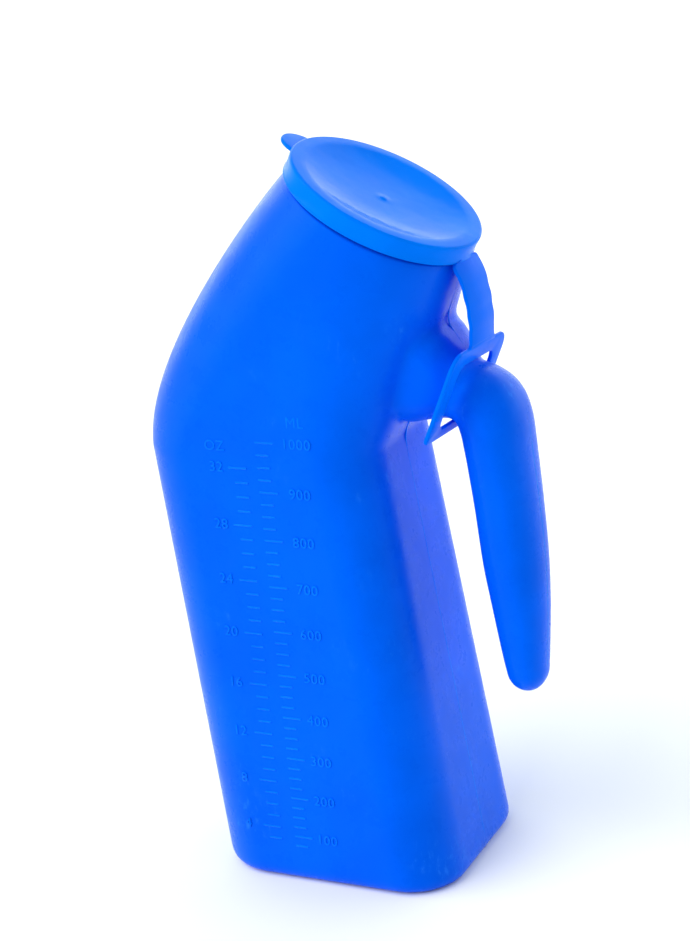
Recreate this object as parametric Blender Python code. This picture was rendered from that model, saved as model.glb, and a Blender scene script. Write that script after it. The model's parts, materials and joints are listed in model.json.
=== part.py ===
"""Hospital urine bottle: a blow-moulded bottle with a hollow hanging grip, and a tethered snap lid.

Metres, +Z up. +X points from the body towards the grip, and the bottle is symmetric about Y = 0.
The origin is the centre of the whole object's footprint, on the surface that it stands on.
The lid is one flexible moulding: cap, strap and loop plate. Its strap is cut into four links here,
each on its own hinge line, so that it can bend.
"""
import math
from typing import NamedTuple

import bmesh
import bpy
from mathutils import Vector

# ---- driving dimensions -------------------------------------------------------------------------
BASE_X = -0.00566           # centre of the foot, measured from the centre of the whole footprint

# Body: a rounded rectangle that leans to the front, up to the height where the neck turns back.
BASE_LENGTH = 0.0921        # along X at the foot
BASE_WIDTH = 0.0796         # along Y at the foot
BEND_HEIGHT = 0.1586
BEND_LENGTH = 0.0882
BEND_WIDTH = 0.0706
BEND_SHIFT = -0.0190        # how far the body's centre has leaned to the front at the bend
CORNER_RADIUS = 0.0204
FOOT_FILLET = 0.0050
FOOT_RING = 0.0055          # width of the flat contact ring inside the fillet
FOOT_STEPS = 4              # flat steps in the fillet's quarter circle
BASE_RECESS = 0.0015        # how far the middle of the base is pushed up
RECESS_DRAFT = 0.0015       # how far the recess's side leans in
WALL = 0.0015
FLOOR = 0.0020

# Lid plane: the centre of the lid's top and its tilt from horizontal, towards the grip.
LID_X = 0.02555
LID_Z = 0.24332
LID_TILT = math.radians(29.64)

# Neck: depths are measured down from the lid's top, along its axis.
NECK_RADIUS = 0.0332
NECK_TOP_DEPTH = 0.0017
SHOULDER_DEPTH = 0.0079
SHOULDER_STEP = 0.0002      # the shoulder's slight rise towards the finish
FINISH_RADIUS = 0.0317
BEAD_RADIUS = 0.0322
BEAD_START = 0.0046         # depth where the snap bead starts to swell
BEAD_LOW = 0.0039
BEAD_HIGH = 0.0026
RIM_DRAW = 0.0004           # how far the rim is drawn in above the bead
MOUTH_RADIUS = 0.0299
MOUTH_STEP = 0.0005         # height of the cavity's last step, from the neck to the mouth
MOUTH_OVERRUN = 0.0040      # how far the cavity's cutting shape runs on above the lid's top
FRONT_START_ANGLE = math.radians(-6.8)
FRONT_END_ANGLE = math.radians(50.0)
FRONT_START_PULL = 0.096
FRONT_END_PULL = 0.021
BACK_START_ANGLE = math.radians(21.0)
BACK_END_ANGLE = math.radians(12.0)
BACK_START_PULL = 0.060
BACK_END_PULL = 0.045
CORNER_GROWTH = 0.8         # power by which the neck's corners open out into a circle
NECK_STATIONS = 14

# Lid
LID_RADIUS = 0.0346
LID_SKIRT_DEPTH = 0.0073
LID_SKIRT_INNER = 0.0333
LID_THICKNESS = 0.0014
LID_HUB_RADIUS = 0.0120     # flat middle of the dish
DISH_RADIUS = 0.0270
DISH_DEPTH = 0.0034
TAB_RADIUS = 0.0075
TAB_DEPTH = 0.0023
TAB_THICKNESS = 0.0014
TAB_STEPS = 12
SKIRT_ROOT = 0.03345        # radius inside the skirt's wall where tab and strap are rooted
LID_HINGE_REACH = 0.0358
LID_HINGE_DEPTH = 0.0069
LID_PROFILE = [             # (radius, depth) from the underside's middle round to the dish's middle
    (LID_HUB_RADIUS, DISH_DEPTH + LID_THICKNESS),
    (DISH_RADIUS - 0.0014, DISH_DEPTH + LID_THICKNESS),
    (DISH_RADIUS + 0.0012, LID_THICKNESS + 0.0001),
    (LID_SKIRT_INNER, LID_THICKNESS),
    (LID_SKIRT_INNER, LID_SKIRT_DEPTH),
    (LID_RADIUS, LID_SKIRT_DEPTH),
    (LID_RADIUS, 0.0010),
    (LID_RADIUS - 0.0003, 0.0003),
    (LID_RADIUS - 0.0010, 0.0),
    (DISH_RADIUS + 0.0003, 0.0),
    (DISH_RADIUS - 0.0004, 0.0005),
    (DISH_RADIUS - 0.0022, DISH_DEPTH - 0.0004),
    (DISH_RADIUS - 0.0030, DISH_DEPTH),
    (LID_HUB_RADIUS, DISH_DEPTH),
]

# Strap and loop plate
STRAP_WIDTH = 0.0200
STRAP_THICKNESS = 0.0013
STRAP_EDGE = 0.0004         # radius on the strap's long edges
STRAP_ROOT = (0.0558, 0.1938)   # first hinge line, in XZ
STRAP_BULGE = 0.0014        # how far the strap arches to the rear
LINK_COUNT = 4
HINGE_HALF_GAP = 0.0006
LOOP_THICKNESS = 0.0014
LOOP_WIDTH = 0.0500
LOOP_BELOW = 0.0150         # from the stem's centre line down to the plate's lower edge
LOOP_ABOVE = 0.0176         # and up to its shoulders
LOOP_CORNER = 0.0062
LOOP_LOW_CORNER = 0.0022
LOOP_ROLL = math.radians(5.0)
ROOT_LENGTH = 0.0040        # the strap's lower root, down from its first hinge line
HOLE_WIDTH = 0.0330
HOLE_BELOW = 0.0113
HOLE_ABOVE = 0.0121
HOLE_CORNER = 0.0045
HOLE_CUT = 0.0030           # half the length of the tool that cuts the hole

# Finish of the plastic, the same resin for both mouldings
BOTTLE_BLUE = (0.0, 0.155, 0.95, 1.0)
LID_BLUE = (0.0, 0.17, 0.98, 1.0)
BOTTLE_ROUGHNESS = 0.38
LID_ROUGHNESS = 0.25

QUARTER_POINTS = 8          # points on each rounded corner of a section
SHARP_ANGLE = math.radians(35.0)    # edges sharper than this are shaded as creases


class Section(NamedTuple):
    """One closed section of a loft: centre, in-plane direction in XZ, half sizes, corner radii."""

    x: float
    z: float
    axis_x: float
    axis_z: float
    half_length: float
    half_width: float
    corner_length: float
    corner_width: float


class Stem(NamedTuple):
    """One section of the handle: centre, travel direction below horizontal, half height and width."""

    x: float
    z: float
    angle: float
    half_height: float
    half_width: float


# The handle from inside the neck, through the boss and the waist, round the elbow, to the grip's tip.
HANDLE = [
    Stem(0.0290, 0.1865, 22.0, 0.0175, 0.0190),
    Stem(0.0375, 0.1823, 22.0, 0.0173, 0.0180),
    Stem(0.0425, 0.1800, 22.0, 0.0145, 0.0172),
    Stem(0.0462, 0.1781, 22.0, 0.0122, 0.0155),
    Stem(0.0492, 0.1762, 22.0, 0.0104, 0.0136),
    Stem(0.0532, 0.1743, 32.0, 0.0110, 0.0142),
    Stem(0.0569, 0.1710, 50.0, 0.0118, 0.0150),
    Stem(0.0593, 0.1655, 70.0, 0.0117, 0.0154),
    Stem(0.0605, 0.1560, 86.0, 0.0113, 0.0154),
    Stem(0.0622, 0.1370, 86.0, 0.0111, 0.0141),
    Stem(0.0635, 0.1170, 86.0, 0.0109, 0.0128),
    Stem(0.0646, 0.1000, 86.0, 0.0097, 0.0114),
    Stem(0.0654, 0.0830, 86.0, 0.0080, 0.0098),
    Stem(0.0657, 0.0765, 86.0, 0.0072, 0.0089),
]
WAIST = HANDLE[4]
HANDLE_ROUNDNESS = 0.92     # corner radius as a share of the half size: 1 is an ellipse
TIP_STEPS = 4
TIP_REST = 0.35             # share of a step left open at the tip, for its flat cap


# ---- frame helpers ------------------------------------------------------------------------------
def lid_point(radial: float, depth: float) -> tuple:
    """The XZ point at a radial distance (towards the grip) and a depth below the lid's top."""
    x = LID_X + radial * math.cos(LID_TILT) - depth * math.sin(LID_TILT)
    z = LID_Z - radial * math.sin(LID_TILT) - depth * math.cos(LID_TILT)
    return x, z


LID_HINGE = lid_point(LID_HINGE_REACH, LID_HINGE_DEPTH)

# The loop plate tilts on the top of the stem, at the upper edge of its hole.
LOOP_PIVOT = (
    WAIST.x + HOLE_ABOVE * math.sin(math.radians(WAIST.angle)),
    WAIST.z + HOLE_ABOVE * math.cos(math.radians(WAIST.angle)),
)


def strap_hinges() -> list:
    """The hinge points in XZ: equal steps along a chord, pushed out to a shallow arc."""
    root = Vector(STRAP_ROOT)
    chord = Vector(LID_HINGE) - root
    outward = Vector((chord.y, -chord.x)).normalized()
    points = []
    for step in range(LINK_COUNT + 1):
        along = step / LINK_COUNT
        bulge = STRAP_BULGE * 4.0 * along * (1.0 - along)
        points.append(root + chord * along + outward * bulge)
    return points


# ---- mesh helpers -------------------------------------------------------------------------------
def section_ring(section: Section) -> list:
    """The points of one section, counter-clockwise about its travel direction."""
    points = []
    corners = ((1, 1), (-1, 1), (-1, -1), (1, -1))
    for quarter, (side_l, side_w) in enumerate(corners):
        centre_l = side_l * (section.half_length - section.corner_length)
        centre_w = side_w * (section.half_width - section.corner_width)
        for step in range(QUARTER_POINTS):
            angle = math.pi / 2 * (quarter + (step + 0.5) / QUARTER_POINTS)
            along = centre_l + section.corner_length * math.cos(angle)
            across = centre_w + section.corner_width * math.sin(angle)
            x = BASE_X + section.x + along * section.axis_x
            z = section.z + along * section.axis_z
            points.append(Vector((x, across, z)))
    return points


def circle_section(radius: float, depth: float) -> Section:
    """A round section about the lid's axis at a depth below its top."""
    x, z = lid_point(0.0, depth)
    return Section(x, z, math.cos(LID_TILT), -math.sin(LID_TILT), radius, radius, radius, radius)


def loft(name: str, rings: list) -> bpy.types.Mesh:
    """A closed mesh through rings of equally many points, with a flat cap on each end."""
    mesh = bpy.data.meshes.new(name)
    bm = bmesh.new()
    loops = [[bm.verts.new(point) for point in ring] for ring in rings]
    count = len(rings[0])
    for lower, upper in zip(loops, loops[1:]):
        for index in range(count):
            following = (index + 1) % count
            bm.faces.new((lower[index], lower[following], upper[following], upper[index]))
    bm.faces.new(list(reversed(loops[0])))
    bm.faces.new(loops[-1])
    bmesh.ops.recalc_face_normals(bm, faces=bm.faces)
    bm.to_mesh(mesh)
    bm.free()
    return mesh


def plastic(name: str, colour: tuple, roughness: float) -> bpy.types.Material:
    """A plain moulded plastic."""
    material = bpy.data.materials.new(name)
    material.use_nodes = True
    shader = material.node_tree.nodes["Principled BSDF"]
    shader.inputs["Base Color"].default_value = colour
    shader.inputs["Roughness"].default_value = roughness
    shader.inputs["Metallic"].default_value = 0.0
    return material


def add_object(mesh: bpy.types.Mesh, material: bpy.types.Material, origin: tuple = (0.0, 0.0)):
    """Link a mesh as an object whose origin lies at an XZ point of the bottle's own plane."""
    offset = Vector((BASE_X + origin[0], 0.0, origin[1]))
    for vertex in mesh.vertices:
        vertex.co -= offset
    mesh.shade_smooth()
    mesh.set_sharp_from_angle(angle=SHARP_ANGLE)
    mesh.materials.append(material)
    obj = bpy.data.objects.new(mesh.name, mesh)
    obj.location = offset
    bpy.context.scene.collection.objects.link(obj)
    return obj


def combine(target, tool_mesh: bpy.types.Mesh, operation: str) -> None:
    """Join or cut the target with a hidden tool shape."""
    tool = bpy.data.objects.new(tool_mesh.name, tool_mesh)
    bpy.context.scene.collection.objects.link(tool)
    tool.hide_render = True
    tool.display_type = "WIRE"
    modifier = target.modifiers.new(tool_mesh.name, "BOOLEAN")
    modifier.operation = operation
    modifier.object = tool
    modifier.solver = "EXACT"


def hermite(start: Vector, end: Vector, pull_in: Vector, pull_out: Vector, t: float) -> Vector:
    """A point on the cubic curve with the given ends and end tangents."""
    square = t * t
    cube = square * t
    return (
        start * (2 * cube - 3 * square + 1)
        + pull_in * (cube - 2 * square + t)
        + end * (3 * square - 2 * cube)
        + pull_out * (cube - square)
    )


def heading(angle: float, length: float) -> Vector:
    """A vector in XZ at an angle from vertical, towards the grip."""
    return Vector((math.sin(angle), math.cos(angle))) * length


# ---- bottle -------------------------------------------------------------------------------------
def body_section(height: float, inset: float) -> Section:
    """A level section of the body below the bend, drawn in by an inset."""
    share = height / BEND_HEIGHT
    length = BASE_LENGTH + (BEND_LENGTH - BASE_LENGTH) * share
    width = BASE_WIDTH + (BEND_WIDTH - BASE_WIDTH) * share
    corner = CORNER_RADIUS - inset
    centre = BEND_SHIFT * share
    return Section(centre, height, 1.0, 0.0, length / 2 - inset, width / 2 - inset, corner, corner)


def foot_sections(bottom: float, fillet: float, inset: float) -> list:
    """The rounded edge of the foot: a quarter circle from the contact ring up to the side."""
    sections = []
    for step in range(FOOT_STEPS + 1):
        angle = math.pi / 2 * step / FOOT_STEPS
        height = bottom + fillet * (1 - math.cos(angle))
        drawn_in = inset + fillet * (1 - math.sin(angle))
        sections.append(body_section(height, drawn_in))
    return sections


def neck_section(t: float, inset: float) -> Section:
    """A section of the neck between the bend (t = 0) and the shoulder under the lid (t = 1)."""
    front = hermite(
        Vector((BEND_SHIFT - BEND_LENGTH / 2, BEND_HEIGHT)),
        Vector(lid_point(-NECK_RADIUS, SHOULDER_DEPTH)),
        heading(FRONT_START_ANGLE, FRONT_START_PULL),
        heading(FRONT_END_ANGLE, FRONT_END_PULL),
        t,
    )
    back = hermite(
        Vector((BEND_SHIFT + BEND_LENGTH / 2, BEND_HEIGHT)),
        Vector(lid_point(NECK_RADIUS, SHOULDER_DEPTH)),
        heading(BACK_START_ANGLE, BACK_START_PULL),
        heading(BACK_END_ANGLE, BACK_END_PULL),
        t,
    )
    centre = (front + back) / 2
    axis = (back - front).normalized()
    half_length = (back - front).length / 2
    half_width = BEND_WIDTH / 2 + (NECK_RADIUS - BEND_WIDTH / 2) * t * t * (3 - 2 * t)
    share = t ** CORNER_GROWTH
    corner_length = CORNER_RADIUS + (half_length - CORNER_RADIUS) * share
    corner_width = CORNER_RADIUS + (half_width - CORNER_RADIUS) * share
    return Section(
        centre.x, centre.y, axis.x, axis.y,
        half_length - inset, half_width - inset,
        corner_length - inset, corner_width - inset,
    )


def body_outer() -> bpy.types.Mesh:
    """Body and neck, closed at the foot and at the top of the neck."""
    sections = [
        body_section(BASE_RECESS, FOOT_FILLET + FOOT_RING + RECESS_DRAFT),
        body_section(0.0, FOOT_FILLET + FOOT_RING),
    ]
    sections += foot_sections(0.0, FOOT_FILLET, 0.0)
    sections += [neck_section(step / NECK_STATIONS, 0.0) for step in range(NECK_STATIONS + 1)]
    finish = [
        (FINISH_RADIUS, SHOULDER_DEPTH - SHOULDER_STEP),
        (FINISH_RADIUS, BEAD_START),
        (BEAD_RADIUS, BEAD_LOW),
        (BEAD_RADIUS, BEAD_HIGH),
        (FINISH_RADIUS - RIM_DRAW, NECK_TOP_DEPTH),
    ]
    sections += [circle_section(radius, depth) for radius, depth in finish]
    return loft("bottle_shell", [section_ring(section) for section in sections])


def body_cavity() -> bpy.types.Mesh:
    """The space inside body and neck, running out through the mouth."""
    floor = BASE_RECESS + FLOOR
    sections = foot_sections(floor, FOOT_FILLET - WALL / 2, WALL)
    stations = [step / NECK_STATIONS for step in range(NECK_STATIONS)]
    sections += [neck_section(t, WALL) for t in stations]
    mouth_depths = (SHOULDER_DEPTH - MOUTH_STEP, -MOUTH_OVERRUN)
    sections += [circle_section(MOUTH_RADIUS, depth) for depth in mouth_depths]
    return loft("cavity", [section_ring(section) for section in sections])


def stem_section(stem: Stem, inset: float, shrink: float = 1.0, advance: float = 0.0) -> Section:
    """A section across the handle, drawn in, shrunk or moved on along its travel direction."""
    angle = math.radians(stem.angle)
    half_height = (stem.half_height - inset) * shrink
    half_width = (stem.half_width - inset) * shrink
    return Section(
        stem.x + advance * math.cos(angle),
        stem.z - advance * math.sin(angle),
        math.sin(angle), math.cos(angle),
        half_height, half_width,
        half_height * HANDLE_ROUNDNESS, half_width * HANDLE_ROUNDNESS,
    )


def handle(name: str, inset: float) -> bpy.types.Mesh:
    """Boss, stem, elbow and grip as one loft with a rounded tip."""
    sections = [stem_section(stem, inset) for stem in HANDLE]
    tip = HANDLE[-1]
    reach = tip.half_width - inset
    for step in range(1, TIP_STEPS + 1):
        angle = math.pi / 2 * step / (TIP_STEPS + TIP_REST)
        sections.append(stem_section(tip, inset, math.cos(angle), reach * math.sin(angle)))
    return loft(name, [section_ring(section) for section in sections])


def build_bottle(material: bpy.types.Material) -> None:
    """The whole blow moulding: one hollow wall from the foot to the neck rim and the grip's tip."""
    shell = add_object(body_outer(), material)
    combine(shell, handle("handle_outer", 0.0), "UNION")
    combine(shell, body_cavity(), "DIFFERENCE")
    combine(shell, handle("handle_cavity", WALL), "DIFFERENCE")


# ---- lid ----------------------------------------------------------------------------------------
def build_lid(material: bpy.types.Material) -> None:
    """The snap cap: recessed dish, rim, skirt, lift tab and the root of the strap."""
    rings = [section_ring(circle_section(radius, depth)) for radius, depth in LID_PROFILE]
    cap = add_object(loft("lid_cap", rings), material, LID_HINGE)
    combine(cap, lift_tab(), "UNION")
    combine(cap, strap_root(), "UNION")


def lift_tab() -> bpy.types.Mesh:
    """A half-round thumb tab at the front, rooted in the skirt's wall."""
    rings = []
    for depth in (TAB_DEPTH + TAB_THICKNESS, TAB_DEPTH):
        ring = []
        for step in range(TAB_STEPS + 1):
            angle = math.pi * step / TAB_STEPS
            x, z = lid_point(-SKIRT_ROOT - TAB_RADIUS * math.sin(angle), depth)
            ring.append(Vector((BASE_X + x, TAB_RADIUS * math.cos(angle), z)))
        rings.append(ring)
    return loft("lift_tab", rings)


def strap_root() -> bpy.types.Mesh:
    """The short flange on the skirt's rear that the strap grows out of."""
    sections = []
    for radial in (SKIRT_ROOT, LID_HINGE_REACH - HINGE_HALF_GAP):
        x, z = lid_point(radial, LID_HINGE_DEPTH)
        sections.append(
            Section(
                x, z, math.sin(LID_TILT), math.cos(LID_TILT),
                STRAP_THICKNESS / 2, STRAP_WIDTH / 2, STRAP_EDGE, STRAP_EDGE,
            )
        )
    return loft("strap_root", [section_ring(section) for section in sections])


def build_links(material: bpy.types.Material) -> None:
    """The strap's links, each with its origin on its lower hinge line."""
    hinges = strap_hinges()
    for index, (lower, upper) in enumerate(zip(hinges, hinges[1:]), start=1):
        along = (upper - lower).normalized()
        rings = []
        for point in (lower + along * HINGE_HALF_GAP, upper - along * HINGE_HALF_GAP):
            section = Section(
                point.x, point.y, along.y, -along.x,
                STRAP_THICKNESS / 2, STRAP_WIDTH / 2, STRAP_EDGE, STRAP_EDGE,
            )
            rings.append(section_ring(section))
        add_object(loft(f"strap_link_{index}", rings), material, tuple(lower))


# ---- loop plate ---------------------------------------------------------------------------------
def plate_point(across: float, along: float, out: float) -> Vector:
    """A point of the loop plate: across it, up it from the stem's centre, and out of its face."""
    root = STRAP_ROOT
    up_x = math.sin(math.radians(WAIST.angle))
    up_z = math.cos(math.radians(WAIST.angle))
    pivot = (root[0] - WAIST.x) * up_x + (root[1] - WAIST.z) * up_z
    rolled_across = across * math.cos(LOOP_ROLL) + (along - pivot) * math.sin(LOOP_ROLL)
    rolled_along = pivot + (along - pivot) * math.cos(LOOP_ROLL) - across * math.sin(LOOP_ROLL)
    x = WAIST.x + rolled_along * up_x + out * up_z
    z = WAIST.z + rolled_along * up_z - out * up_x
    return Vector((BASE_X + x, rolled_across, z))


def plate_ring(half_width: float, low: float, high: float, corners: tuple, out: float) -> list:
    """A rounded rectangle in the loop plate's plane, with its upper and its lower corner radius."""
    centre = (low + high) / 2
    half_height = (high - low) / 2
    points = []
    for quarter, (side_w, side_h) in enumerate(((1, 1), (-1, 1), (-1, -1), (1, -1))):
        corner = corners[0] if side_h > 0 else corners[1]
        for step in range(QUARTER_POINTS):
            angle = math.pi / 2 * (quarter + (step + 0.5) / QUARTER_POINTS)
            across = side_w * (half_width - corner) + corner * math.cos(angle)
            along = centre + side_h * (half_height - corner) + corner * math.sin(angle)
            points.append(plate_point(across, along, out))
    return points


def build_loop(material: bpy.types.Material) -> None:
    """The flat frame that hangs round the handle's waist, with the strap's lower root."""
    corners = (LOOP_CORNER, LOOP_LOW_CORNER)
    hole_corners = (HOLE_CORNER, HOLE_CORNER)
    outline = []
    hole = []
    for side in (-1, 1):
        face = side * LOOP_THICKNESS / 2
        outline.append(plate_ring(LOOP_WIDTH / 2, -LOOP_BELOW, LOOP_ABOVE, corners, face))
        hole.append(
            plate_ring(HOLE_WIDTH / 2, -HOLE_BELOW, HOLE_ABOVE, hole_corners, side * HOLE_CUT)
        )
    plate = add_object(loft("tether_loop", outline), material, LOOP_PIVOT)
    combine(plate, loft("stem_hole", hole), "DIFFERENCE")
    combine(plate, loft("plate_root", root_rings()), "UNION")


def root_rings() -> list:
    """The strap's lower root, from inside the plate's top limb to just short of the first hinge."""
    hinges = strap_hinges()
    along = (hinges[1] - hinges[0]).normalized()
    rings = []
    for distance in (-ROOT_LENGTH, -HINGE_HALF_GAP):
        point = hinges[0] + along * distance
        section = Section(
            point.x, point.y, along.y, -along.x,
            STRAP_THICKNESS / 2, STRAP_WIDTH / 2, STRAP_EDGE, STRAP_EDGE,
        )
        rings.append(section_ring(section))
    return rings


def main() -> None:
    """Clear the scene and build every sub-part."""
    for obj in list(bpy.data.objects):
        bpy.data.objects.remove(obj, do_unlink=True)
    bottle_plastic = plastic("bottle_plastic", BOTTLE_BLUE, BOTTLE_ROUGHNESS)
    lid_plastic = plastic("lid_plastic", LID_BLUE, LID_ROUGHNESS)
    build_bottle(bottle_plastic)
    build_lid(lid_plastic)
    build_links(lid_plastic)
    build_loop(lid_plastic)


main()
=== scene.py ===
"""A blue hospital urine bottle: moulded shell, volume scale, snap lid, strap and loop plate.

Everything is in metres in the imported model's own frame: +X towards the grip, +Z up, and the
bottle is symmetric about Y = 0. Shapes that repeat or follow a path are made by geometry nodes.
"""
import json
import logging
import math
from dataclasses import dataclass
from enum import Enum

import bmesh
import bpy
import numpy as np
from mathutils import Matrix, Vector
from mathutils.bvhtree import BVHTree


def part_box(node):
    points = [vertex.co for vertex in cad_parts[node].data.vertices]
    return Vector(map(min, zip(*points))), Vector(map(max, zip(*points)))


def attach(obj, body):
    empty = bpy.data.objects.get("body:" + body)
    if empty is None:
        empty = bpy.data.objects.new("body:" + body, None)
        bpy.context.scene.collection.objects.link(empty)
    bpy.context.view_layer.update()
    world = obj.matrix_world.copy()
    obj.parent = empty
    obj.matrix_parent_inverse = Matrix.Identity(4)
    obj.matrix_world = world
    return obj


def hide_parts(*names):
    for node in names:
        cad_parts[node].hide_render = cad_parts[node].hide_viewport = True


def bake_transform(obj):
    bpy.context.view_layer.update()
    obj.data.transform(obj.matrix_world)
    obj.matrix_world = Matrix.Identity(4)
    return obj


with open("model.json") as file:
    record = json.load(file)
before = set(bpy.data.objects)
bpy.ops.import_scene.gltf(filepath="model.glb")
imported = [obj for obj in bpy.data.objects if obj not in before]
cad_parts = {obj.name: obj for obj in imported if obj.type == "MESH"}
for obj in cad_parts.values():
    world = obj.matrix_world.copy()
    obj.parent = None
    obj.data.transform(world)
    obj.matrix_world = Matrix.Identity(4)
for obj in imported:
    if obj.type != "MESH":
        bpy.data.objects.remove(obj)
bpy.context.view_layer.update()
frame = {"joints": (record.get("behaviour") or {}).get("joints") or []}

LOG = logging.getLogger("urine_bottle")

BODY_FRONT_REACH = 0.0630                # from the shell's frontmost point back to the foot's centre
LID_TILT = math.radians(29.64)           # how far the mouth leans back towards the grip
LID_HINGE_REACH = 0.0358                 # from the lid's axis out to its hinge
LID_HINGE_DEPTH = 0.0069                 # from the lid's top down to its hinge
STRAP_LINKS = 4                          # hinged lengths between the loop plate and the lid
MOUTH_DEPTH = 0.0021                     # from the lid's top down to the wall's top edge
FLAT_SLACK = 1e-5                        # how near a plane a point must be to count as on it
BODY_SHARP = math.radians(50.0)          # edges steeper than this stay crisp, on the shell and strap
SMALL_SHARP = math.radians(40.0)         # the same on the lid, plate and numbers


class Body(Enum):
    """The moving bodies that pieces ride on."""

    BOTTLE = "bottle"
    LOOP = "loop"
    LID = "lid"


class Slot(Enum):
    """The record's material slots."""

    BOTTLE = "bottle_plastic"
    LID = "lid_plastic"


class Units(Enum):
    """The two scales on the side, with the millilitres in one of their units."""

    MILLILITRES = 1.0
    OUNCES = 29.5735


# ---- the frame's own places ---------------------------------------------------------------------
@dataclass(frozen=True)
class Anchors:
    """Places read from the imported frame, from which every size below is positioned."""

    base_x: float
    lid_x: float
    lid_z: float
    lid_tilt: float
    hinges: tuple

    @classmethod
    def from_frame(cls) -> "Anchors":
        """Read the hinge points and the foot's centre from the frame.

        Returns:
            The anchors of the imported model.
        """
        joints = {joint["name"]: joint for joint in frame["joints"]}
        names = [f"strap_bend_{step + 1}" for step in range(STRAP_LINKS)] + ["lid_hinge"]
        hinges = tuple(Vector(joints[name]["pos_m"]) for name in names)
        cos_tilt, sin_tilt = math.cos(LID_TILT), math.sin(LID_TILT)
        lid_x = hinges[-1].x - LID_HINGE_REACH * cos_tilt + LID_HINGE_DEPTH * sin_tilt
        lid_z = hinges[-1].z + LID_HINGE_REACH * sin_tilt + LID_HINGE_DEPTH * cos_tilt
        base_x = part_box("bottle_shell")[0].x + BODY_FRONT_REACH
        return cls(base_x, lid_x, lid_z, LID_TILT, hinges)

    def lid_point(self, radial: float, depth: float, across: float = 0.0) -> Vector:
        """A point in the lid's own axes.

        Args:
            radial: distance from the lid's axis towards the grip.
            depth: distance below the lid's top.
            across: distance along +Y.

        Returns:
            The point in the row frame.
        """
        x = self.lid_x + radial * math.cos(self.lid_tilt) - depth * math.sin(self.lid_tilt)
        z = self.lid_z - radial * math.sin(self.lid_tilt) - depth * math.cos(self.lid_tilt)
        return Vector((x, across, z))

    def lid_up(self) -> Vector:
        """The direction out of the lid's top."""
        return (self.lid_point(0.0, -1.0) - self.lid_point(0.0, 0.0)).normalized()


# ---- mesh helpers -------------------------------------------------------------------------------
def link(mesh: bpy.types.Mesh, name: str) -> bpy.types.Object:
    """Put a mesh into the scene as an object at the origin.

    Args:
        mesh: what the object shows.
        name: the object's name.

    Returns:
        The new object.
    """
    obj = bpy.data.objects.new(name, mesh)
    bpy.context.scene.collection.objects.link(obj)
    return obj


def baked(obj: bpy.types.Object, name: str) -> bpy.types.Mesh:
    """The evaluated mesh of an object whose modifiers are then no longer needed.

    Args:
        obj: the object to evaluate, which is removed.
        name: the new mesh's name.

    Returns:
        A plain mesh.
    """
    graph = bpy.context.evaluated_depsgraph_get()
    graph.update()
    mesh = bpy.data.meshes.new_from_object(obj.evaluated_get(graph), depsgraph=graph)
    mesh.name = name
    bpy.data.objects.remove(obj, do_unlink=True)
    return mesh


def mesh_from(bm: bmesh.types.BMesh, name: str) -> bpy.types.Mesh:
    """Write a bmesh out as a mesh and free it.

    Args:
        bm: the mesh under construction.
        name: the new mesh's name.

    Returns:
        The finished mesh.
    """
    mesh = bpy.data.meshes.new(name)
    bm.to_mesh(mesh)
    bm.free()
    return mesh


def loft(rings: list, closed_start: bool = True, closed_end: bool = True) -> bmesh.types.BMesh:
    """A skin through rings of equally many points.

    Args:
        rings: lists of points, one list a ring, all in the same order.
        closed_start: whether the first ring gets a flat cap.
        closed_end: whether the last ring gets one.

    Returns:
        The skin, with its faces pointing outwards where both ends are closed.
    """
    bm = bmesh.new()
    loops = [[bm.verts.new(point) for point in ring] for ring in rings]
    count = len(rings[0])
    for lower, upper in zip(loops, loops[1:]):
        for index in range(count):
            after = (index + 1) % count
            bm.faces.new((lower[index], lower[after], upper[after], upper[index]))
    if closed_start:
        bm.faces.new(list(reversed(loops[0])))
    if closed_end:
        bm.faces.new(loops[-1])
    if closed_start and closed_end:
        bmesh.ops.recalc_face_normals(bm, faces=bm.faces)
    return bm


def smooth_step(value: float) -> float:
    """The usual soft step from 0 to 1."""
    value = max(0.0, min(1.0, value))
    return value * value * (3.0 - 2.0 * value)


def hermite(start: Vector, end: Vector, leave: Vector, arrive: Vector, t: float) -> Vector:
    """A point on a cubic with the given end points and end tangents.

    Args:
        start: where the cubic begins.
        end: where it ends.
        leave: the tangent at its start.
        arrive: the tangent at its end.
        t: the share of the way along it.

    Returns:
        The point.
    """
    square = t * t
    cube = square * t
    return (
        start * (2 * cube - 3 * square + 1)
        + leave * (cube - 2 * square + t)
        + end * (3 * square - 2 * cube)
        + arrive * (cube - square)
    )


def catmull(points: list, steps: int) -> list:
    """A smooth curve through vectors of any size.

    Args:
        points: the vectors that the curve passes through.
        steps: how many pieces each span is cut into.

    Returns:
        The curve's points, ends included.
    """
    padded = [2 * points[0] - points[1], *points, 2 * points[-1] - points[-2]]
    curve = []
    for before, start, end, after in zip(padded, padded[1:], padded[2:], padded[3:]):
        leave = (end - before) / 2
        arrive = (after - start) / 2
        curve += [hermite(start, end, leave, arrive, step / steps) for step in range(steps)]
    return curve + [points[-1]]


def rounded_loop(half_l: float, half_w: float, corner_l: float, corner_w: float, quarter: int) -> list:
    """The plane outline of a rounded rectangle as (along, across) pairs.

    Args:
        half_l: half its length.
        half_w: half its width.
        corner_l: corner radius along the length.
        corner_w: corner radius along the width.
        quarter: points on each corner.

    Returns:
        The outline, counter-clockwise.
    """
    pairs = []
    for turn, (side_l, side_w) in enumerate(((1, 1), (-1, 1), (-1, -1), (1, -1))):
        for step in range(quarter):
            angle = math.pi / 2 * (turn + (step + 0.5) / quarter)
            along = side_l * (half_l - corner_l) + corner_l * math.cos(angle)
            across = side_w * (half_w - corner_w) + corner_w * math.sin(angle)
            pairs.append((along, across))
    return pairs


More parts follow.
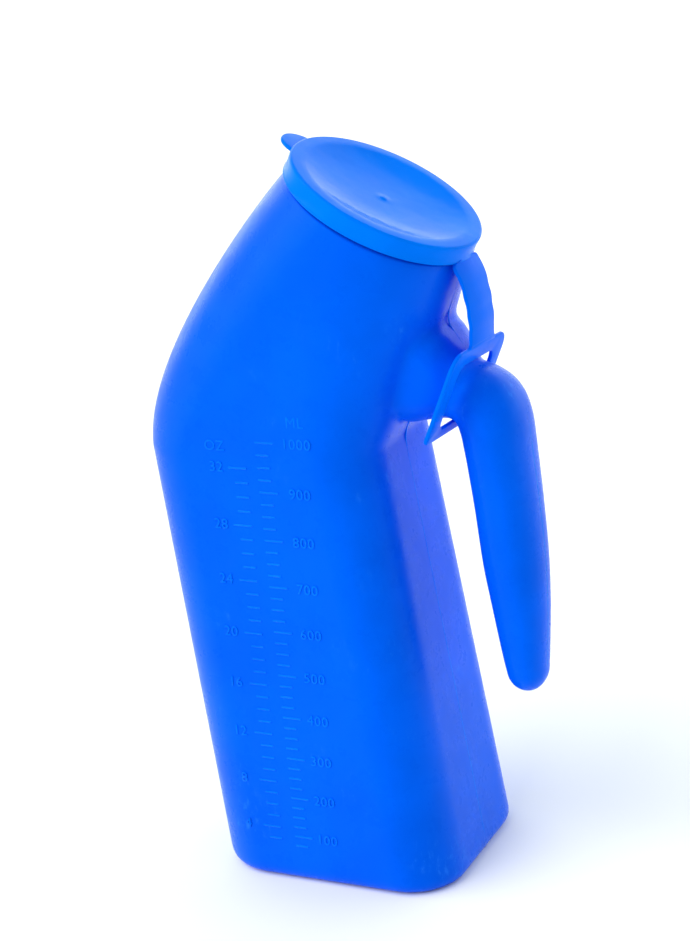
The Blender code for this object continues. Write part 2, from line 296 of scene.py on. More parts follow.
# ---- finishes -----------------------------------------------------------------------------------
class NodeBench:
    """A small helper that adds and wires shader nodes."""

    def __init__(self, name: str) -> None:
        """Start a material with only its Principled shader and output.

        Args:
            name: the material's name.
        """
        self.material = bpy.data.materials.new(name)
        self.material.use_nodes = True
        self.nodes = self.material.node_tree.nodes
        self.links = self.material.node_tree.links
        self.shader = self.nodes["Principled BSDF"]
        self.place = self.nodes.new("ShaderNodeTexCoord").outputs["Object"]

    def noise(
        self, scale: float, detail: float, roughness: float = 0.55, stretch: tuple = None,
    ) -> bpy.types.NodeSocket:
        """A noise pattern in metres.

        Args:
            scale: features in a metre.
            detail: octaves.
            roughness: how strong the fine octaves are.
            stretch: optional scale along X, Y and Z.

        Returns:
            The noise's factor socket.
        """
        source = self.place
        if stretch:
            mapping = self.nodes.new("ShaderNodeMapping")
            mapping.inputs["Scale"].default_value = stretch
            self.links.new(self.place, mapping.inputs["Vector"])
            source = mapping.outputs["Vector"]
        node = self.nodes.new("ShaderNodeTexNoise")
        node.inputs["Scale"].default_value = scale
        node.inputs["Detail"].default_value = detail
        node.inputs["Roughness"].default_value = roughness
        self.links.new(source, node.inputs["Vector"])
        return node.outputs["Fac"]

    def ramp(
        self, source: bpy.types.NodeSocket, low: float, high: float, start: float = 0.0, end: float = 1.0,
    ) -> bpy.types.NodeSocket:
        """Map a value range onto another, clamped.

        Args:
            source: the socket to read.
            low: the input that gives start.
            high: the input that gives end.
            start: first output.
            end: last output.

        Returns:
            The mapped socket.
        """
        node = self.nodes.new("ShaderNodeMapRange")
        node.interpolation_type = "SMOOTHSTEP"
        for socket, value in zip(node.inputs[1:5], (low, high, start, end)):
            socket.default_value = value
        self.links.new(source, node.inputs[0])
        return node.outputs[0]

    def times(self, first: bpy.types.NodeSocket, second: bpy.types.NodeSocket) -> bpy.types.NodeSocket:
        """The product of two sockets.

        Args:
            first: one factor.
            second: the other.

        Returns:
            The product's socket.
        """
        node = self.nodes.new("ShaderNodeMath")
        node.operation = "MULTIPLY"
        self.links.new(first, node.inputs[0])
        self.links.new(second, node.inputs[1])
        return node.outputs[0]

    def mix(self, factor: bpy.types.NodeSocket, first: object, second: tuple) -> bpy.types.NodeSocket:
        """A colour mixed towards a second one.

        Args:
            factor: the socket that says how much.
            first: a colour, or the socket of one.
            second: the colour at factor 1.

        Returns:
            The colour socket.
        """
        node = self.nodes.new("ShaderNodeMix")
        node.data_type = "RGBA"
        self.links.new(factor, node.inputs[0])
        if isinstance(first, tuple):
            node.inputs[6].default_value = first
        else:
            self.links.new(first, node.inputs[6])
        node.inputs[7].default_value = second
        return node.outputs[2]

    def bump(
        self, height: bpy.types.NodeSocket, distance: float, strength: float,
        under: bpy.types.NodeSocket = None,
    ) -> bpy.types.NodeSocket:
        """A bump from a height socket.

        Args:
            height: the pattern.
            distance: its height in metres.
            strength: how strongly it counts.
            under: another bump's normal to build on.

        Returns:
            The normal socket.
        """
        node = self.nodes.new("ShaderNodeBump")
        node.inputs["Distance"].default_value = distance
        node.inputs["Strength"].default_value = strength
        self.links.new(height, node.inputs["Height"])
        if under is not None:
            self.links.new(under, node.inputs["Normal"])
        return node.outputs["Normal"]


# Each noise is its features in a metre, octaves, fine strength and, where it has one, its stretch.
# Each range is the two ends of the noise that count and, where it has them, what they become.
CLOUD_NOISE, CLOUD_RANGE = (22.0, 3.0), (0.35, 0.68)
FLOW_NOISE, FLOW_RANGE = (60.0, 4.0, 0.6, (1.0, 1.0, 0.22)), (0.46, 0.74, 0.0, 0.28)
PATCH_NOISE, PATCH_RANGE = (38.0, 2.0), (0.56, 0.72)
GRAIN_NOISE, GRAIN_RANGE = (520.0, 5.0, 0.7, (1.0, 1.0, 0.45)), (0.52, 0.70)
SHEEN_NOISE, SHEEN_RANGE = (140.0, 5.0, 0.62), (0.3, 0.7)
RIPPLE_NOISE, RIPPLE_STRENGTH = (75.0, 2.0), 0.5
GRIT_NOISE, GRIT_DEPTH, GRIT_STRENGTH = (1800.0, 3.0), 0.000012, 0.35
POLYETHYLENE_IOR = 1.5


@dataclass(frozen=True)
class MouldedPlastic:
    """Blue polyethylene, satin or glossy, with flow mottling, fine scratches and scuffs."""

    name: str
    colour: tuple
    deep: tuple
    worn: tuple
    roughness_low: float
    roughness_high: float
    specular: float
    tint: tuple
    ripple: float
    scuffs: float

    def material(self) -> bpy.types.Material:
        """Build the node tree.

        Returns:
            The finished material.
        """
        bench = NodeBench(self.name)
        mottle = bench.ramp(bench.noise(*CLOUD_NOISE), *CLOUD_RANGE)
        colour = bench.mix(mottle, self.colour, self.deep)
        flow = bench.ramp(bench.noise(*FLOW_NOISE), *FLOW_RANGE)
        colour = bench.mix(flow, colour, self.deep)
        patch = bench.ramp(bench.noise(*PATCH_NOISE), *PATCH_RANGE)
        grain = bench.ramp(bench.noise(*GRAIN_NOISE), *GRAIN_RANGE, 0.0, self.scuffs)
        colour = bench.mix(bench.times(patch, grain), colour, self.worn)
        bench.links.new(colour, bench.shader.inputs["Base Color"])
        sheen = bench.ramp(
            bench.noise(*SHEEN_NOISE), *SHEEN_RANGE, self.roughness_low, self.roughness_high,
        )
        bench.links.new(sheen, bench.shader.inputs["Roughness"])
        skin = bench.bump(bench.noise(*RIPPLE_NOISE), self.ripple, RIPPLE_STRENGTH)
        fine = bench.bump(bench.noise(*GRIT_NOISE), GRIT_DEPTH, GRIT_STRENGTH, skin)
        bench.links.new(fine, bench.shader.inputs["Normal"])
        bench.shader.inputs["Specular IOR Level"].default_value = self.specular
        bench.shader.inputs["Specular Tint"].default_value = self.tint
        bench.shader.inputs["IOR"].default_value = POLYETHYLENE_IOR
        return bench.material


@dataclass(frozen=True)
class StudioPaper:
    """The plain pale floor."""

    name: str = "studio_paper"
    colour: tuple = (0.93, 0.93, 0.94, 1.0)

    def material(self) -> bpy.types.Material:
        """A matt white with the faintest tooth.

        Returns:
            The finished material.
        """
        bench = NodeBench(self.name)
        bench.shader.inputs["Base Color"].default_value = self.colour
        bench.shader.inputs["Roughness"].default_value = 0.9
        bench.shader.inputs["Specular IOR Level"].default_value = 0.1
        return bench.material


SATIN_BLUE = MouldedPlastic(
    "bottle_satin_blue", (0.0, 0.108, 0.86, 1.0), (0.0, 0.092, 0.76, 1.0), (0.02, 0.20, 0.9, 1.0),
    0.24, 0.36, 0.12, (0.0, 0.80, 1.0, 1.0), 0.00010, 0.60,
)
# Scale marks and numbers: paler than the shell, a painted highlight for the light that their raised edges
# catch; the worn colour gives real scuffs.
MARK_HIGHLIGHT_BLUE = MouldedPlastic(
    "mark_painted_highlight_blue", (0.0, 0.148, 0.92, 1.0), (0.0, 0.118, 0.84, 1.0), (0.03, 0.24, 0.9, 1.0),
    0.22, 0.34, 0.22, (0.0, 0.80, 1.0, 1.0), 0.00002, 0.40,
)
# Parting ridge: paler than the shell, a painted highlight for the light along the ridge's crown.
RIDGE_HIGHLIGHT_BLUE = MouldedPlastic(
    "parting_ridge_painted_highlight_blue", (0.02, 0.26, 1.0, 1.0), (0.0, 0.20, 0.95, 1.0), (0.06, 0.34, 1.0, 1.0),
    0.22, 0.34, 0.25, (0.0, 0.80, 1.0, 1.0), 0.00002, 0.40,
)
# Lid: a lighter, greener blue than the shell, partly the lid's own tone and partly painted light falling on
# its upward-facing top.
LID_BLUE_PAINTED_TOPLIGHT = MouldedPlastic(
    "lid_gloss_blue_painted_toplight", (0.0, 0.180, 0.92, 1.0), (0.0, 0.155, 0.84, 1.0), (0.02, 0.26, 0.9, 1.0),
    0.07, 0.14, 0.03, (0.05, 0.90, 1.0, 1.0), 0.00055, 0.35,
)
STRAP_BLUE = MouldedPlastic(
    "strap_supple_blue", (0.0, 0.140, 0.90, 1.0), (0.0, 0.122, 0.82, 1.0), (0.02, 0.22, 0.9, 1.0),
    0.28, 0.38, 0.02, (0.0, 0.80, 1.0, 1.0), 0.00006, 0.35,
)


def dress(obj: bpy.types.Object, material: bpy.types.Material, body: Body = None) -> None:
    """Give a finished piece its material and, where it is rigid, its body.

    Args:
        obj: the piece.
        material: its finish.
        body: the body it rides on, or None for a piece that rides on none.
    """
    obj.data.materials.clear()
    obj.data.materials.append(material)
    if body:
        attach(obj, body.value)
    LOG.info("%s: %d faces", obj.name, len(obj.data.polygons))


# ---- bottle -------------------------------------------------------------------------------------
@dataclass(frozen=True)
class Stem:
    """One section of the handle: centre, travel direction below horizontal, half height and width."""

    x: float
    z: float
    angle: float
    half_height: float
    half_width: float

    def vector(self) -> Vector:
        """The five numbers as one vector, so that a curve can run through them."""
        return Vector((self.x, self.z, self.angle, self.half_height, self.half_width))


@dataclass(frozen=True)
class NeckSide:
    """One side of the neck in profile: its leaving and arriving leans and how long they hold."""

    side: int
    leave_lean: float
    leave_pull: float
    arrive_lean: float
    arrive_pull: float


NECK_SIDES = (
    NeckSide(-1, -6.8, 0.096, 50.0, 0.021),
    NeckSide(1, 21.0, 0.060, 12.0, 0.045),
)
HANDLE = (
    Stem(0.0290, 0.1865, 22.0, 0.0175, 0.0190),
    Stem(0.0375, 0.1823, 22.0, 0.0173, 0.0180),
    Stem(0.0425, 0.1800, 22.0, 0.0145, 0.0172),
    Stem(0.0462, 0.1781, 22.0, 0.0122, 0.0155),
    Stem(0.0492, 0.1762, 22.0, 0.0104, 0.0136),
    Stem(0.0532, 0.1743, 32.0, 0.0110, 0.0142),
    Stem(0.0569, 0.1710, 50.0, 0.0118, 0.0150),
    Stem(0.0593, 0.1655, 70.0, 0.0117, 0.0154),
    Stem(0.0605, 0.1560, 86.0, 0.0113, 0.0154),
    Stem(0.0622, 0.1370, 86.0, 0.0111, 0.0141),
    Stem(0.0635, 0.1170, 86.0, 0.0109, 0.0128),
    Stem(0.0646, 0.1000, 86.0, 0.0097, 0.0114),
    Stem(0.0654, 0.0830, 86.0, 0.0080, 0.0098),
    Stem(0.0657, 0.0765, 86.0, 0.0072, 0.0089),
)
WAIST = HANDLE[4]


@dataclass
class BottleShell:
    """The blow moulding: body, bent neck, boss, stem and hanging grip, hollow throughout."""

    anchors: Anchors
    base_length: float = 0.0921
    base_width: float = 0.0796
    bend_height: float = 0.1586
    bend_length: float = 0.0882
    bend_width: float = 0.0706
    bend_shift: float = -0.0190
    corner: float = 0.0204
    foot_fillet: float = 0.0050
    foot_ring: float = 0.0055
    recess: float = 0.0015
    floor: float = 0.0020
    wall: float = 0.0015
    neck_radius: float = 0.0332
    shoulder_depth: float = 0.0079
    mouth_radius: float = 0.0299
    handle_roundness: float = 0.92
    boss_roundness: float = 0.58
    corner_growth: float = 0.8
    recess_draft: tuple = ((1.0, 0.0020), (0.9, 0.0014), (0.25, 0.0006), (0.0, 0.0))
    foot_steps: int = 8
    body_levels: int = 30
    shoulder_overrun: float = 0.0040
    tip_steps: int = 10
    tip_rest: float = 0.2
    handle_quarter: int = 12
    cut_depth: float = 0.0094
    rim_split_depth: float = 0.0060
    inner_foot_steps: int = 5
    inner_levels: int = 8
    inner_start: float = 0.0120
    inner_stations: int = 20
    mouth_step: float = 0.0005
    stem_steps: int = 6
    quarter: int = 24
    neck_stations: int = 34
    voxel: float = 0.00125
    blend_reach: float = 0.0036
    blend_core: float = 1.25
    blend_rounds: int = 9
    easing: float = 0.5
    even_rounds: int = 2

    def place_ring(self, centre: Vector, axis: Vector, pairs: list) -> list:
        """Put a plane outline into the frame.

        Args:
            centre: the section's centre in the bottle's own XZ plane.
            axis: the direction of the outline's length, in XZ.
            pairs: the outline.

        Returns:
            The ring's points.
        """
        ring = []
        for along, across in pairs:
            spot = centre + axis * along
            ring.append(Vector((self.anchors.base_x + spot.x, across, spot.y)))
        return ring

    def body_ring(self, height: float, inset: float) -> list:
        """A level ring of the body below the bend, drawn in by an inset.

        Args:
            height: how far above the table.
            inset: how far inside the outer skin.

        Returns:
            The ring's points.
        """
        share = height / self.bend_height
        length = self.base_length + (self.bend_length - self.base_length) * share
        width = self.base_width + (self.bend_width - self.base_width) * share
        corner = self.corner - inset
        pairs = rounded_loop(length / 2 - inset, width / 2 - inset, corner, corner, self.quarter)
        return self.place_ring(Vector((self.bend_shift * share, height)), Vector((1.0, 0.0)), pairs)

    def neck_ring(self, t: float, inset: float) -> list:
        """A ring of the neck between the bend (t = 0) and the shoulder (t = 1).

        Args:
            t: the share of the way up the neck.
            inset: how far inside the outer skin.

        Returns:
            The ring's points.
        """
        anchors = self.anchors
        ends = []
        for edge in NECK_SIDES:
            start = Vector((self.bend_shift + edge.side * self.bend_length / 2, self.bend_height))
            top = anchors.lid_point(edge.side * self.neck_radius, self.shoulder_depth)
            end = Vector((top.x - anchors.base_x, top.z))
            leave = math.radians(edge.leave_lean)
            arrive = math.radians(edge.arrive_lean)
            ends.append(
                hermite(
                    start, end,
                    Vector((math.sin(leave), math.cos(leave))) * edge.leave_pull,
                    Vector((math.sin(arrive), math.cos(arrive))) * edge.arrive_pull,
                    t,
                )
            )
        front, back = ends
        half_length = (back - front).length / 2
        half_width = self.bend_width / 2 + (self.neck_radius - self.bend_width / 2) * smooth_step(t)
        share = t ** self.corner_growth
        corner_l = self.corner + (half_length - self.corner) * share - inset
        corner_w = self.corner + (half_width - self.corner) * share - inset
        pairs = rounded_loop(half_length - inset, half_width - inset, corner_l, corner_w, self.quarter)
        return self.place_ring((front + back) / 2, (back - front).normalized(), pairs)

    def lid_ring(self, radius: float, depth: float) -> list:
        """A round ring about the lid's axis.

        Args:
            radius: distance from the lid's axis.
            depth: distance below the lid's top.

        Returns:
            The ring's points.
        """
        centre = self.anchors.lid_point(0.0, depth)
        axis = Vector((math.cos(self.anchors.lid_tilt), -math.sin(self.anchors.lid_tilt)))
        pairs = rounded_loop(radius, radius, radius, radius, self.quarter)
        return self.place_ring(Vector((centre.x - self.anchors.base_x, centre.z)), axis, pairs)

    def foot_rings(self, bottom: float, fillet: float, inset: float, steps: int) -> list:
        """The rounded edge of the foot as a quarter circle.

        Args:
            bottom: the height of the lowest ring.
            fillet: the quarter circle's radius.
            inset: how far inside the outer skin.
            steps: how many pieces it is cut into.

        Returns:
            The rings, lowest first.
        """
        rings = []
        for step in range(steps + 1):
            angle = math.pi / 2 * step / steps
            height = bottom + fillet * (1 - math.cos(angle))
            rings.append(self.body_ring(height, inset + fillet * (1 - math.sin(angle))))
        return rings

    def body_loft(self) -> bmesh.types.BMesh:
        """Body and neck as one closed skin that runs on past the shoulder.

        Returns:
            The skin.
        """
        rim = self.foot_fillet + self.foot_ring
        rings = [self.body_ring(self.recess * share, rim + draw) for share, draw in self.recess_draft]
        rings += self.foot_rings(0.0, self.foot_fillet, 0.0, self.foot_steps)
        low = self.foot_fillet
        for step in range(1, self.body_levels):
            rings.append(self.body_ring(low + (self.bend_height - low) * step / self.body_levels, 0.0))
        rings += [self.neck_ring(step / self.neck_stations, 0.0) for step in range(self.neck_stations + 1)]
        rings.append(self.lid_ring(self.neck_radius, self.shoulder_depth - self.shoulder_overrun))
        return loft(rings)

    def handle_loft(self, inset: float) -> bmesh.types.BMesh:
        """Boss, stem, elbow and grip as one closed skin with a rounded tip.

        Args:
            inset: how far inside the outer skin, for the hollow.

        Returns:
            The skin.
        """
        stems = catmull([stem.vector() for stem in HANDLE], self.stem_steps)
        boss_end = self.stem_steps * HANDLE.index(WAIST)
        sections = []
        for number, stem in enumerate(stems):
            blend = smooth_step(number / boss_end)
            round_ = self.boss_roundness + (self.handle_roundness - self.boss_roundness) * blend
            sections.append((stem, 1.0, 0.0, round_))
        reach = stems[-1][4] - inset
        for step in range(1, self.tip_steps + 1):
            angle = math.pi / 2 * step / (self.tip_steps + self.tip_rest)
            advance = reach * math.sin(angle)
            sections.append((stems[-1], math.cos(angle), advance, self.handle_roundness))
        rings = []
        for (x, z, degrees, half_height, half_width), shrink, advance, round_ in sections:
            angle = math.radians(degrees)
            centre = Vector((x + advance * math.cos(angle), z - advance * math.sin(angle)))
            axis = Vector((math.sin(angle), math.cos(angle)))
            high = (half_height - inset) * shrink
            wide = (half_width - inset) * shrink
            pairs = rounded_loop(high, wide, high * round_, wide * round_, self.handle_quarter)
            rings.append(self.place_ring(centre, axis, pairs))
        return loft(rings)

    def outer_skin(self) -> bmesh.types.BMesh:
        """Body and handle grown together, with a soft fillet round the boss.

        Returns:
            The skin, closed at the top.
        """
        body = self.body_loft()
        handle = self.handle_loft(0.0)
        body_tree = BVHTree.FromBMesh(body)
        handle_tree = BVHTree.FromBMesh(handle)
        body_obj = link(mesh_from(body, "body_guide"), "body_guide")
        handle_mesh = mesh_from(handle, "handle_guide")
        joined = bmesh.new()
        joined.from_mesh(body_obj.data)
        joined.from_mesh(handle_mesh)
        joined.to_mesh(body_obj.data)
        joined.free()
        remesh = body_obj.modifiers.new("grow_together", "REMESH")
        remesh.mode = "VOXEL"
        remesh.voxel_size = self.voxel
        skin = baked(body_obj, "outer_skin")
        points, weights = self.settle(skin, body_tree, handle_tree)
        points = self.relax(skin, points, weights)
        skin.vertices.foreach_set("co", points.astype(np.float32).ravel())
        bm = bmesh.new()
        bm.from_mesh(skin)
        return bm

    def settle(self, skin: bpy.types.Mesh, body_tree: BVHTree, handle_tree: BVHTree) -> tuple:
        """Move each point onto the exact skin, and weigh how near it is to the seam of the two.

        Args:
            skin: the grown-together mesh.
            body_tree: the body's exact skin.
            handle_tree: the handle's exact skin.

        Returns:
            The points, and a weight from 0 to 1 that is 1 at the seam.
        """
        points = np.zeros((len(skin.vertices), 3))
        weights = np.zeros(len(skin.vertices))
        for index, vertex in enumerate(skin.vertices):
            on_body, _, _, body_gap = body_tree.find_nearest(vertex.co)
            on_handle, _, _, handle_gap = handle_tree.find_nearest(vertex.co)
            points[index] = on_body if body_gap < handle_gap else on_handle
            weights[index] = smooth_step(self.blend_core - max(body_gap, handle_gap) / self.blend_reach)
        return points, weights

    def relax(self, skin: bpy.types.Mesh, points: np.ndarray, weights: np.ndarray) -> np.ndarray:
        """Even out the skin, strongly at the handle's seam and hardly elsewhere.

        Args:
            skin: the mesh, for its edges.
            points: its points.
            weights: the seam weights.

        Returns:
            The relaxed points.
        """
        edges = np.zeros(len(skin.edges) * 2, np.int64)
        skin.edges.foreach_get("vertices", edges)
        first, second = edges.reshape(-1, 2).T
        degree = np.bincount(edges, minlength=len(points))[:, None]
        for step in range(self.blend_rounds):
            total = np.zeros_like(points)
            for axis in range(3):
                total[:, axis] += np.bincount(first, points[second, axis], len(points))
                total[:, axis] += np.bincount(second, points[first, axis], len(points))
            share = np.maximum(weights, self.easing if step < self.even_rounds else 0.0)[:, None]
            points = points + share * self.easing * (total / degree - points)
        return points

    def inner_skin(self) -> bmesh.types.BMesh:
        """The wall's inner face, from the mouth down to the floor, with the hollow of the grip.

        Returns:
            The skin, open at the mouth and facing the hollow.
        """
        fillet = self.foot_fillet - self.wall / 2
        rings = self.foot_rings(self.recess + self.floor, fillet, self.wall, self.inner_foot_steps)
        rise = self.bend_height - self.inner_start
        for step in range(1, self.inner_levels):
            height = self.foot_fillet * 2 + rise * step / self.inner_levels
            rings.append(self.body_ring(height, self.wall))
        stations = self.inner_stations
        rings += [self.neck_ring(step / stations, self.wall) for step in range(stations)]
        for depth in (self.shoulder_depth - self.mouth_step, MOUTH_DEPTH):
            rings.append(self.lid_ring(self.mouth_radius, depth))
        cavity = link(mesh_from(loft(rings), "cavity"), "cavity")
        hollow = link(mesh_from(self.handle_loft(self.wall), "grip_hollow"), "grip_hollow")
        union = cavity.modifiers.new("open_to_grip", "BOOLEAN")
        union.operation = "UNION"
        union.object = hollow
        mesh = baked(cavity, "inner_skin")
        bpy.data.objects.remove(hollow, do_unlink=True)
        bm = bmesh.new()
        bm.from_mesh(mesh)
        top = self.anchors.lid_point(0.0, MOUTH_DEPTH)
        up = self.anchors.lid_up()
        caps = [f for f in bm.faces if all(abs((v.co - top).dot(up)) < FLAT_SLACK for v in f.verts)]
        bmesh.ops.delete(bm, geom=caps, context="FACES_ONLY")
        bmesh.ops.reverse_faces(bm, faces=bm.faces)
        return bm

    def finish_rings(self) -> list:
        """The rings of the neck's rim: rounded shoulder, recess, bead and lip.

        Returns:
            The rings from the shoulder to the mouth.
        """
        profile = [
            (self.neck_radius + 0.0001, 0.0088),
            (self.neck_radius, 0.0084),
            (self.neck_radius - 0.0003, 0.0081),
            (self.neck_radius - 0.0008, 0.0079),
            (0.0318, 0.0078),
            (0.0317, 0.0074),
            (0.0317, 0.0048),
            (0.0320, 0.0043),
            (0.0322, 0.0037),
            (0.0322, 0.0029),
            (0.0320, 0.0023),
            (0.0315, 0.0019),
            (0.0310, 0.0017),
            (0.0304, 0.0017),
            (0.0300, 0.0019),
        ]
        return [self.lid_ring(radius, depth) for radius, depth in profile]

    def build(self, material: bpy.types.Material) -> bmesh.types.BMesh:
        """Make the shell piece.

        Args:
            material: its finish.

        Returns:
            The closed outer skin, for what is laid onto it.
        """
        outer = self.outer_skin()
        guide = outer.copy()
        cut_at = self.anchors.lid_point(0.0, self.cut_depth)
        up = self.anchors.lid_up()
        bmesh.ops.bisect_plane(
            outer, geom=outer.verts[:] + outer.edges[:] + outer.faces[:],
            plane_co=cut_at, plane_no=up, clear_outer=True,
        )
        outer_mesh = mesh_from(outer, "outer_open")
        inner_mesh = mesh_from(self.inner_skin(), "inner_open")
        rim_mesh = mesh_from(loft(self.finish_rings(), False, False), "rim_open")
        shell = bmesh.new()
        for mesh in (outer_mesh, rim_mesh, inner_mesh):
            shell.from_mesh(mesh)
        open_edges = [edge for edge in shell.edges if edge.is_boundary]
        for deep in (True, False):
            band = [e for e in open_edges if (self.depth_of(e.verts[0].co) > self.rim_split_depth) == deep]
            bmesh.ops.bridge_loops(shell, edges=band)
        bmesh.ops.recalc_face_normals(shell, faces=shell.faces)
        mesh = mesh_from(shell, "bottle_body")
        mesh.shade_smooth()
        mesh.set_sharp_from_angle(angle=BODY_SHARP)
        piece = link(mesh, "bottle_body")
        dress(piece, material, Body.BOTTLE)
        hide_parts("bottle_shell")
        return guide

    def depth_of(self, point: Vector) -> float:
        """How far a point lies below the lid's top, along the lid's axis."""
        up = self.anchors.lid_up()
        return (self.anchors.lid_point(0.0, 0.0) - point).dot(up)

    def section_area(self, height: float) -> float:
        """The area inside the wall at a height, in square metres.

        Args:
            height: where the section is taken.

        Returns:
            The area.
        """
        share = height / self.bend_height
        length = self.base_length + (self.bend_length - self.base_length) * share - 2 * self.wall
        width = self.base_width + (self.bend_width - self.base_width) * share - 2 * self.wall
        corner = self.corner - self.wall
        return length * width - (4 - math.pi) * corner * corner


# ---- geometry node trees ------------------------------------------------------------------------
class NodeTree:
    """A geometry node tree under construction, with named inputs."""

    def __init__(self, name: str) -> None:
        """Start a tree with a geometry input and output.

        Args:
            name: the tree's name.
        """
        self.tree = bpy.data.node_groups.new(name, "GeometryNodeTree")
        self.tree.interface.new_socket("Geometry", in_out="INPUT", socket_type="NodeSocketGeometry")
        self.tree.interface.new_socket("Geometry", in_out="OUTPUT", socket_type="NodeSocketGeometry")
        self.source = self.tree.nodes.new("NodeGroupInput")
        self.result = self.tree.nodes.new("NodeGroupOutput")
        self.values = {}

    def value(self, name: str, number: float) -> None:
        """Declare a named size and the number that this build gives it."""
        socket = self.tree.interface.new_socket(name, in_out="INPUT", socket_type="NodeSocketFloat")
        self.values[socket.identifier] = number

    def add(self, kind: str, **inputs: object) -> bpy.types.Node:
        """Add a node and set or wire its inputs.

        Args:
            kind: the node's type.
            inputs: sockets or values by input name, with spaces as underscores.

        Returns:
            The node.
        """
        node = self.tree.nodes.new(kind)
        for name, value in inputs.items():
            socket = node.inputs[name.replace("_", " ")]
            if isinstance(value, bpy.types.NodeSocket):
                self.tree.links.new(value, socket)
            else:
                socket.default_value = value
        return node

    def finish(self, geometry: bpy.types.NodeSocket, material: bpy.types.Material) -> None:
        """End the tree in Realize Instances and Set Material.

        Args:
            geometry: the socket to end on.
            material: the finish of what it makes.
        """
        real = self.add("GeometryNodeRealizeInstances", Geometry=geometry)
        dressed = self.add("GeometryNodeSetMaterial", Geometry=real.outputs[0], Material=material)
        self.tree.links.new(dressed.outputs[0], self.result.inputs[0])

    def run(self, mesh: bpy.types.Mesh, name: str) -> bpy.types.Object:
        """Run the tree on a mesh and return a plain object.

        Args:
            mesh: the points or edges that the tree starts from.
            name: the piece's name.

        Returns:
            The object, with its modifier gone.
        """
        holder = link(mesh, name + "_source")
        modifier = holder.modifiers.new(name, "NODES")
        modifier.node_group = self.tree
        for identifier, number in self.values.items():
            modifier[identifier] = number
        return link(baked(holder, name), name)


# ---- volume scale -------------------------------------------------------------------------------
@dataclass(frozen=True)
class ScaleRow:
    """One column of marks: its numbers, its straight edge and which way the marks run from it."""

    first: int
    last: int
    every: int
    major: int
    edge: float
    lean: float
    side: int
    digit_x: float
    label: str


SCALE_ROWS = {
    Units.MILLILITRES: ScaleRow(75, 1000, 25, 100, -0.0112, -0.0195, 1, 0.0012, "ML"),
    Units.OUNCES: ScaleRow(3, 32, 1, 4, -0.0168, -0.0098, -1, -0.0300, "OZ"),
}


